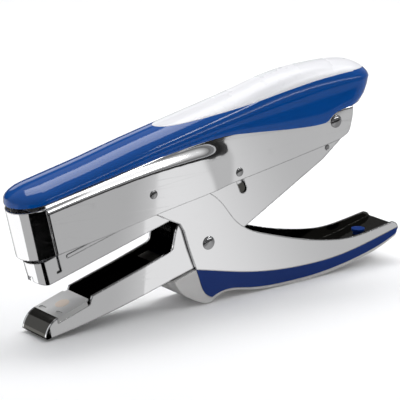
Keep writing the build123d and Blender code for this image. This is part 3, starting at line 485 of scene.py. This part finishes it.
def reflectionCard(name, corners, levels, start, end):
    # a panel that only shows in reflections; its brightness runs from one level
    # to the other between the points start and end (mm)
    shape = bmesh.new()
    shape.faces.new([shape.verts.new(place(*corner)) for corner in corners])
    mesh = bpy.data.meshes.new(name)
    shape.to_mesh(mesh)
    shape.free()
    card = bpy.data.objects.new(name, mesh)
    bpy.context.scene.collection.objects.link(card)
    material = bpy.data.materials.new(name)
    material.use_nodes = True
    tree = material.node_tree
    tree.nodes.clear()
    output = tree.nodes.new("ShaderNodeOutputMaterial")
    glow = tree.nodes.new("ShaderNodeEmission")
    coordinates = tree.nodes.new("ShaderNodeTexCoord")
    reach = tree.nodes.new("ShaderNodeVectorMath")
    reach.operation = "DOT_PRODUCT"
    first, last = place(*start), place(*end)
    run = last - first
    reach.inputs[1].default_value = run / run.length_squared
    fade = tree.nodes.new("ShaderNodeMapRange")
    fade.interpolation_type = "SMOOTHSTEP"
    offset = first.dot(run) / run.length_squared
    fade.inputs["From Min"].default_value = offset
    fade.inputs["From Max"].default_value = offset + 1
    fade.inputs["To Min"].default_value = levels[0]
    fade.inputs["To Max"].default_value = levels[1]
    tree.links.new(coordinates.outputs["Object"], reach.inputs[0])
    tree.links.new(reach.outputs["Value"], fade.inputs["Value"])
    tree.links.new(fade.outputs["Result"], glow.inputs["Strength"])
    tree.links.new(glow.outputs["Emission"], output.inputs["Surface"])
    mesh.materials.append(material)
    card.visible_camera = False
    card.visible_diffuse = False
    card.visible_shadow = False
    card.visible_transmission = False
    return card


buildFloor()
buildWorld()
centre = (Vector(cadBox[0]) + Vector(cadBox[1])) / 2
areaLight("keyLight", centre + Vector((0.20, 0.28, 0.85)), centre, (0.8, 0.45), studio["keyPower"])
areaLight("stripLight", centre + Vector((0.52, -0.24, 0.67)), centre, (0.9, 0.05), studio["stripPower"])
areaLight("backLight", centre + Vector((0.35, 0.95, 0.35)), centre, (0.5, 0.25), studio["backPower"])

# What the polished plates reflect: a pale floor that greys off in front, and dark under the nose
# and beyond the cover. The panels are set out for this camera, so from other sides the plates
# come out darker.
floorZ = -28.55
reflectionCard("floorSheen", [(-900, -900, floorZ), (900, -900, floorZ), (900, 900, floorZ),
                              (-900, 900, floorZ)],
               (0.84, 0.52), (-7.2, -4.5, floorZ), (57.8, 35.8, floorZ))
reflectionCard("leftSheen", [(-900, -900, floorZ + 0.05), (-96, -900, floorZ + 0.05),
                             (-96, 900, floorZ + 0.05), (-900, 900, floorZ + 0.05)],
               (1.15, 1.15), (-900, 0, floorZ), (0, 0, floorZ))
reflectionCard("greySheen", [(-42, 0, floorZ + 0.1), (408, -600, floorZ + 0.1), (-700, -600, floorZ + 0.1),
                             (-700, 0, floorZ + 0.1)],
               (0.46, 0.70), (-62, 0, floorZ), (-40, 16.5, floorZ))
reflectionCard("underShade", [(-92, -7, floorZ + 0.15), (130, -7, floorZ + 0.15), (160, 60, floorZ + 0.15),
                              (-80, 60, floorZ + 0.15)], (0.02, 0.02), (0, 0, floorZ), (100, 0, floorZ))
reflectionCard("noseShade", [(-84, -6, floorZ + 0.2), (-20, -118, floorZ + 0.2), (90, -340, floorZ + 0.2),
                             (-300, -600, floorZ + 0.2), (-544, -392, floorZ + 0.2),
                             (-161, -70, floorZ + 0.2)],
               (0.0, 0.0), (0, 0, floorZ), (0, -300, floorZ))
reflectionCard("farShade", [(-100, 20, floorZ + 0.2), (60, 310, floorZ + 0.2), (0, 400, floorZ + 0.2),
                            (-60, 130, floorZ + 0.2)],
               (0.0, 0.0), (0, 0, floorZ), (0, 300, floorZ))
reflectionCard("coverShade", [(20, -187, floorZ + 0.3), (120, -221, floorZ + 0.3), (195, -238, floorZ + 0.3),
                              (225, -229, floorZ + 0.3), (256, -230, floorZ + 0.3), (282, -246, floorZ + 0.3),
                              (1200, -330, floorZ + 0.3), (1200, -1000, floorZ + 0.3),
                              (0, -1000, floorZ + 0.3)],
               (0.06, 0.02), (0, -184, floorZ), (0, -400, floorZ))
reflectionCard("frontShade", [(-700, -1200, 120), (1700, -1200, 120), (1700, -1200, 900), (-700, -1200, 900)],
               (0.16, 0.26), (0, -1200, 100), (0, -1200, 800))
reflectionCard("frontGlow", [(200, -1190, 180), (1600, -1190, 180), (1600, -1190, 640), (200, -1190, 640)],
               (0.3, 1.1), (0, -1190, 180), (0, -1190, 480))
reflectionCard("creaseGlow", [(200, -1180, 400), (1600, -1180, 400), (1600, -1180, 460), (200, -1180, 460)],
               (9.0, 9.0), (0, -1180, 400), (0, -1180, 460))
reflectionCard("backShade", [(-600, 1300, -20), (2300, 1300, -20), (2300, 1300, 1000), (-600, 1300, 1000)],
               (0.02, 0.12), (0, 1300, 100), (0, 1300, 900))
buildCamera()
print("studio ready")

# cover and insert

cover = {
    "half": 12.4, "noseCentre": -84.6, "tail": 96.5, "wall": 1.4, "stations": 150,
    "lipHeight": 0.45, "partingGap": 0.3, "archSteps": 47, "endRound": 0.45,
    "leanFrom": 62.0, "leanFull": 84.0,
    "low": [(-106.0, 29.6), (-86.8, 33.0), (-58.9, 38.4), (-32.8, 42.7), (-6.1, 46.4), (10.3, 47.5),
            (21.4, 46.8), (49.8, 44.6), (61.4, 44.3), (70.2, 45.3), (80.8, 49.0), (92.0, 50.8), (104.0, 51.6)],
    "parting": [(-104.0, 32.4), (-86.0, 34.2), (-58.0, 39.5), (-32.0, 44.9), (-5.0, 49.7), (23.0, 54.3),
                (38.0, 56.3), (52.0, 58.2), (62.0, 59.7), (78.0, 61.1), (92.0, 61.7), (104.0, 61.8)],
    "crown": [(-104.0, 33.6), (-98.0, 36.0), (-92.0, 38.3), (-86.0, 40.0), (-58.0, 46.2), (-32.0, 52.3),
              (-5.0, 58.0), (23.0, 64.0), (38.0, 67.8), (52.0, 70.0), (62.0, 70.5), (78.0, 70.3),
              (86.0, 69.3), (92.0, 67.2), (95.5, 65.0), (104.0, 62.6)],
    "lean": [(20.0, 14.0), (48.5, 9.0), (52.2, 4.2), (57.2, 1.3), (61.8, 0.0)],
}


def coverHalf(x):
    tailCentre = cover["tail"] - cover["half"]
    past = max(cover["noseCentre"] - x, x - tailCentre, 0.0)
    return math.sqrt(max(cover["half"] ** 2 - past ** 2, 0.0))


def coverRise(x):
    rise = along(cover["crown"], x) - along(cover["parting"], x)
    return rise * (coverHalf(x) / cover["half"]) ** cover["endRound"]


def coverTop(x, y):
    half = max(coverHalf(x), 0.01)
    return along(cover["parting"], x) + coverRise(x) * math.sqrt(max(1 - (y / half) ** 2, 0.0))


def leaned(x, z):
    return x - along(cover["lean"], z) * smoothStep(cover["leanFrom"], cover["leanFull"], x)


def endSpacing(low, high, count):
    # stations that crowd towards both ends
    middle, reach = (low + high) / 2, (high - low) / 2
    return [middle - reach * math.cos(math.pi * i / (count - 1)) for i in range(count)]


def buildCover():
    nose = cover["noseCentre"] - cover["half"]
    rows = []
    for x in endSpacing(nose, cover["tail"], cover["stations"]):
        half = coverHalf(x)
        low = along(cover["low"], x)
        parting = along(cover["parting"], x)
        tuck = min(half, 1.0)
        # a rounded lip, the upright wall, then the arch above the parting line
        lipTop = low + cover["lipHeight"]
        wallHeight = max(parting - lipTop - cover["partingGap"], 0.05)
        side = [(half - 0.5 * tuck, low), (half - 0.14 * tuck, low + 0.12), (half - 0.04 * tuck, lipTop)]
        side += [(half - 0.04 * tuck, lipTop + wallHeight * share) for share in (0.33, 0.67, 1.0)]
        side += [(half, parting)]
        arch = []
        for i in range(1, cover["archSteps"]):
            angle = math.pi * i / cover["archSteps"]
            arch.append((-half * math.cos(angle), parting + coverRise(x) * math.sin(angle)))
        section = [(-y, z) for y, z in side] + arch + [(y, z) for y, z in reversed(side)]
        rows.append([place(leaned(x, z), y, z) for y, z in section])
    piece = pieceFromMesh("coverShell", gridMesh("coverShell", rows), "lever", "cover_blue", "top_cover")
    addModifier(piece, "SOLIDIFY", thickness=cover["wall"] * mm, offset=-1)
    return piece


insert = {
    "tip": -22.0, "tail": 93.2, "proud": 0.12, "dip": 0.4, "thick": 0.6,
    "half": [(0.0, 0.0), (1.87, 4.8), (4.35, 8.6), (7.07, 11.0), (9.51, 11.1), (10.5, 10.6)],
    "tailRadius": 10.4, "stations": 110, "rimWidth": 0.35,
}


def insertHalf(x):
    flank = along(insert["half"], math.sqrt(max(x - insert["tip"], 0.0)))
    past = x - (insert["tail"] - insert["tailRadius"])
    if past > 0:
        flank = min(flank, math.sqrt(max(insert["tailRadius"] ** 2 - past ** 2, 0.0)))
    return flank


def buildInsert():
    rows = []
    stations = endSpacing(insert["tip"], insert["tail"], insert["stations"])
    for i, x in enumerate(stations):
        half = insertHalf(x)
        atEnd = i in (0, len(stations) - 1)
        section = []
        for share in [-1.0, -0.99] + spread(-0.97, 0.97, 39) + [0.99, 1.0]:
            y = half * share
            rim = abs(share) * half
            fall = smoothStep(half - insert["rimWidth"], half, rim)
            if atEnd:
                fall = 1.0
            lift = insert["proud"] * (1 - fall) - insert["dip"] * fall
            section.append(place(x, y, coverTop(x, y) + lift))
        rows.append(section)
    piece = pieceFromMesh("palmInsert", gridMesh("palmInsert", rows), "lever", "cover_white", "cover_insert")
    addModifier(piece, "SOLIDIFY", thickness=insert["thick"] * mm, offset=-1)
    return piece


buildCover()
buildInsert()
print("cover ready")

# housing and nose

housing = {
    "half": 10.5, "rise": 1.45, "sheet": 0.9, "corner": 1.6, "columns": 190, "rows": 44,
    "low": [(-80.5, 9.9), (-57.9, 13.2), (-29.0, 18.3), (0.0, 22.8), (34.4, 28.1), (74.5, 34.8)],
    "high": [(-85.9, 33.0), (-58.0, 38.2), (-7.0, 47.3), (22.0, 49.3), (55.0, 49.3), (82.9, 50.6)],
    "rear": [(34.8, 74.5), (37.0, 79.3), (42.5, 81.9), (50.6, 82.9)],
    "footHigh": [(-100.0, 30.0), (-86.8, 32.6), (-58.9, 38.0), (-32.8, 42.3), (-6.1, 46.0), (20.0, 49.2)],
    "browHigh": [(-100.0, 25.6), (-86.8, 28.2), (-58.9, 33.0), (-32.8, 36.8), (-9.5, 38.6), (10.0, 39.5)],
    "footRear": [(9.0, 12.0), (20.0, 13.6), (30.0, 14.8), (36.5, 14.6), (44.0, 11.0)],
    "browRear": [(9.0, 5.5), (20.0, 3.2), (28.5, 0.4), (35.8, -3.6), (44.0, -7.5)],
}


def flareShare(x, z):
    footZ, browZ = along(housing["footHigh"], x), along(housing["browHigh"], x)
    footX, browX = along(housing["footRear"], z), along(housing["browRear"], z)
    return smoothStep(footZ, browZ, z) * smoothStep(footX, browX, x)


seam = {"footX": -80.5, "footZ": 9.9, "run": 5.0, "rise": 21.6}      # leans forward by run over rise


def seamX(z):
    return seam["footX"] - seam["run"] * (z - seam["footZ"]) / seam["rise"]


def buildHousing():
    rows = []
    corner = housing["corner"]
    roofFront, roofRear = housing["high"][0][0], housing["high"][-1][0]
    for share in spread(0.0, 1.0, housing["columns"]):
        side = []
        for t in spread(0.0, 1.0, housing["rows"]):
            # x and z depend on each other, so a first guess is drawn in over a few rounds
            guess = -82.0 + 160.0 * share
            z = along(housing["low"], guess)
            x = guess
            for _ in range(4):
                low, high = along(housing["low"], x), along(housing["high"], x) - corner
                z = low + (high - low) * t
                x = seamX(z) + (along(housing["rear"], z) - seamX(z)) * share
            side.append((x, housing["half"] + housing["rise"] * flareShare(x, z), z))
        x, y, z = side[-1]
        roofX = roofFront + (roofRear - roofFront) * share
        for angle in (22.5, 45.0, 67.5, 90.0):
            a = math.radians(angle)
            side.append((x + (roofX - x) * angle / 90, y - corner * (1 - math.cos(a)),
                         z + corner * math.sin(a)))
        near = [place(px, -py, pz) for px, py, pz in side]
        far = [place(px, py, pz) for px, py, pz in reversed(side)]
        rows.append(near + far)
    piece = pieceFromMesh("housingShell", gridMesh("housingShell", rows), "lever", "chrome", "housing")
    addModifier(piece, "SOLIDIFY", thickness=housing["sheet"] * mm, offset=-1)
    addModifier(piece, "BEVEL", width=0.3 * mm, segments=3, limit_method="ANGLE",
                angle_limit=math.radians(50))
    return piece


def buildNose():
    # half round front that leans with the seam
    rows = []
    radius = housing["half"]
    tilt = math.atan2(seam["run"], seam["rise"])
    noseHeight = math.hypot(seam["run"], seam["rise"])
    for height in [0.0, 0.25] + spread(1.0, noseHeight, 14):
        rows.append([])
        for angle in spread(-90.0, 90.0, 73):
            a = math.radians(angle)
            out = radius * math.cos(a)
            rows[-1].append(place(seam["footX"] - out * math.cos(tilt) - height * math.sin(tilt),
                                  radius * math.sin(a),
                                  seam["footZ"] - out * math.sin(tilt) + height * math.cos(tilt)))
    piece = pieceFromMesh("noseShell", gridMesh("noseShell", rows), "lever", "chrome", "nose_cap")
    addModifier(piece, "SOLIDIFY", thickness=housing["sheet"] * mm, offset=1)
    addModifier(piece, "BEVEL", width=0.2 * mm, segments=2, limit_method="ANGLE",
                angle_limit=math.radians(50))
    return piece


buildHousing()
buildNose()
print("housing ready")

# pressed sheet and mouldings that keep their form, with the edges eased

eased = [
    ("main_frame", "frame", 0.4, 3, "frame_chrome"), ("anvil_plate", "frame", 0.16, 2, None),
    ("anvil_bridge", "frame", 0.15, 1, None), ("handle_channel", "handle", 0.38, 3, "handle_chrome"),
    ("magazine_channel", "magazine", 0.25, 2, None), ("grip_inlay", "handle", 0.9, 4, None),
    ("grip_base", "handle", 0.8, 4, None),
]
recordSlots = {entry["node"]: entry["material_slot"] for entry in frame["record"]["subparts"]}
for node, body, width, segments, finish in eased:
    softenedCopy(node, body, recordSlots[node], width, segments, finish=finish)
print("sheet pieces ready")

# rivets, pins and studs

rivetSides = 48


def turnedPiece(name, body, slot, node, centres, profile):
    # profile of (y, radius) turned about the across axis through each centre; far side mirrored
    shape = bmesh.new()
    for x, z, flip in centres:
        rings = []
        for y, radius in profile:
            ring = []
            for i in range(rivetSides):
                a = 2 * math.pi * i / rivetSides
                point = place(x + radius * math.cos(a), y * flip, z + radius * math.sin(a))
                ring.append(shape.verts.new(point))
            rings.append(ring)
        for lower, upper in zip(rings, rings[1:]):
            for i in range(rivetSides):
                j = (i + 1) % rivetSides
                shape.faces.new((lower[i], lower[j], upper[j], upper[i]))
    bmesh.ops.remove_doubles(shape, verts=shape.verts, dist=1e-6)
    bmesh.ops.holes_fill(shape, edges=[e for e in shape.edges if len(e.link_faces) == 1])
    bmesh.ops.recalc_face_normals(shape, faces=shape.faces)
    return pieceFromMesh(name, smoothMesh(name, shape), body, slot, node)


def domeProfile(seat, headRadius, headHeight, shankRadius):
    # from the shank out over a domed head to its tip
    points = [(seat, shankRadius), (seat, headRadius - 0.05), (seat + 0.06, headRadius)]
    for i in range(1, 11):
        a = math.pi / 2 * i / 10
        points.append((seat + 0.06 + (headHeight - 0.06) * math.sin(a), headRadius * math.cos(a)))
    return points


def pinProfile(reach, shankRadius, headRadius, headHeight):
    half = domeProfile(reach, headRadius, headHeight, shankRadius)
    return [(-y, r) for y, r in reversed(half)] + half


turnedPiece("pivotPin", "frame", "rivet_steel", "main_pivot_pin", [(0.0, 0.0, 1)],
            pinProfile(10.8, 2.5, 3.1, 1.1))
turnedPiece("tailPin", "frame", "rivet_steel", "tail_rivet", [(72.5, 43.9, 1)],
            pinProfile(10.6, 2.0, 3.0, 1.1))
turnedPiece("linkPins", "lever", "rivet_steel", "link_studs", [(-30.6, 27.8, -1), (-30.6, 27.8, 1)],
            [(9.4, 1.6)] + domeProfile(11.95, 2.0, 0.5, 1.6))
turnedPiece("guidePins", "lever", "rivet_steel", "guide_studs", [(17.3, 29.4, -1), (17.3, 29.4, 1)],
            [(8.05, 1.6)] + domeProfile(10.5, 2.0, 0.5, 1.6))
print("rivets ready")

# springs and staples

def wireMesh(name, paths, radius, sides=8):
    # round wire along each path of points (metres)
    shape = bmesh.new()
    for path in paths:
        rings = []
        for i, point in enumerate(path):
            ahead = path[min(i + 1, len(path) - 1)] - path[max(i - 1, 0)]
            turn = ahead.to_track_quat("Z", "Y")
            rings.append([shape.verts.new(point + turn @ Vector((math.cos(a), math.sin(a), 0)) * radius)
                          for a in [2 * math.pi * k / sides for k in range(sides)]])
        for lower, upper in zip(rings, rings[1:]):
            for k in range(sides):
                j = (k + 1) % sides
                shape.faces.new((lower[k], lower[j], upper[j], upper[k]))
        shape.faces.new(list(reversed(rings[0])))
        shape.faces.new(rings[-1])
    bmesh.ops.recalc_face_normals(shape, faces=shape.faces)
    return smoothMesh(name, shape)


def coilPath(centre, axis, radius, length, turns, steps=20):
    # a helix about the centre, its end coils lying close
    side = axis.orthogonal().normalized()
    other = axis.cross(side)
    path = []
    count = int(turns * steps)
    for i in range(count + 1):
        share = i / count
        reach = (share - 0.5 + 0.03 * math.sin(2 * math.pi * share) * -1) * length
        a = 2 * math.pi * turns * share
        path.append(centre + axis * reach + (side * math.cos(a) + other * math.sin(a)) * radius)
    return path


def spanOf(node, axis):
    # middle, half length along the axis and outer radius about it
    points = [v.co.copy() for v in frame["nodes"][node].data.vertices]
    reaches = [p.dot(axis) for p in points]
    flats = [p - axis * p.dot(axis) for p in points]
    middle = Vector([(min(f[k] for f in flats) + max(f[k] for f in flats)) / 2 for k in range(3)])
    radius = max((f - middle).length for f in flats)
    return middle + axis * (min(reaches) + max(reaches)) / 2, (max(reaches) - min(reaches)) / 2, radius


# the lever's spring is pressed down on the magazine, the pusher's is pressed back on its block
backwards = slideAxis.normalized() * (1 if slideAxis.x > 0 else -1)
springs = {
    "lever_spring": {"axis": Vector((0, 0, 1)), "body": "lever", "wire": 0.45, "turns": 5,
                     "joint": "lever_hinge", "keep": 0.72},
    "pusher_spring": {"axis": backwards, "body": "magazine", "wire": 0.3, "turns": 34,
                      "joint": "pusher_slide"},
}
for node, spring in springs.items():
    middle, half, radius = spanOf(node, spring["axis"])
    thick = spring["wire"] * mm
    path = coilPath(middle, spring["axis"], radius - thick, 2 * (half - thick), spring["turns"])
    coil = pieceFromMesh(node + "Coil", wireMesh(node + "Coil", [path], thick), spring["body"],
                         "spring_steel", node)
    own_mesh(coil)

wire = 0.6
coil = coilPath(place(0, 0, 0), Vector((0, 1, 0)), 4.5 * mm, 8.6 * mm, 7)
legs = [[place(2.6, y, -3.7), place(9.0, y, -8.0), place(23.4, y, -15.3)] for y in (-0.7, 0.7)]
pieceFromMesh("handleSpringCoil", wireMesh("handleSpringCoil", [coil, *legs], wire * mm), "handle",
              "spring_steel", "handle_spring")


def buildStaples():
    axis = slideAxis.normalized()
    if axis.x > 0:
        axis = -axis
    up = axis.cross(Vector((0, -1, 0))).normalized()
    if up.z < 0:
        up = -up
    points = [v.co for v in frame["nodes"]["staple_strip"].data.vertices]
    near, far = min(p.dot(axis) for p in points), max(p.dot(axis) for p in points)
    base, top = min(p.dot(up) for p in points), max(p.dot(up) for p in points)
    half = max(p.y for p in points)
    pitch, radius = 0.53 * mm, 0.25 * mm
    count = int((far - near) / pitch)
    paths = []
    for i in range(count):
        reach = near + radius + (far - near - 2 * radius) * i / max(count - 1, 1)
        outline = [(-half + radius, base + radius), (-half + radius, top - 3.2 * radius),
                   (-half + 1.6 * radius, top - 1.5 * radius), (-half + 3.2 * radius, top - radius),
                   (half - 3.2 * radius, top - radius), (half - 1.6 * radius, top - 1.5 * radius),
                   (half - radius, top - 3.2 * radius), (half - radius, base + radius)]
        paths.append([axis * reach + up * height + Vector((0, y, 0)) for y, height in outline])
    pieceFromMesh("stapleRow", wireMesh("stapleRow", paths, radius, sides=6), "magazine",
                  "staple_zinc", "staple_strip")


buildStaples()
print("springs and staples ready")

# a finish for every CAD node, shown or replaced
for entry in frame["record"]["subparts"]:
    node = frame["nodes"][entry["node"]]
    node.data.materials.clear()
    node.data.materials.append(finishes[entry["material_slot"]])

bpy.context.scene.view_settings.view_transform = "Standard"
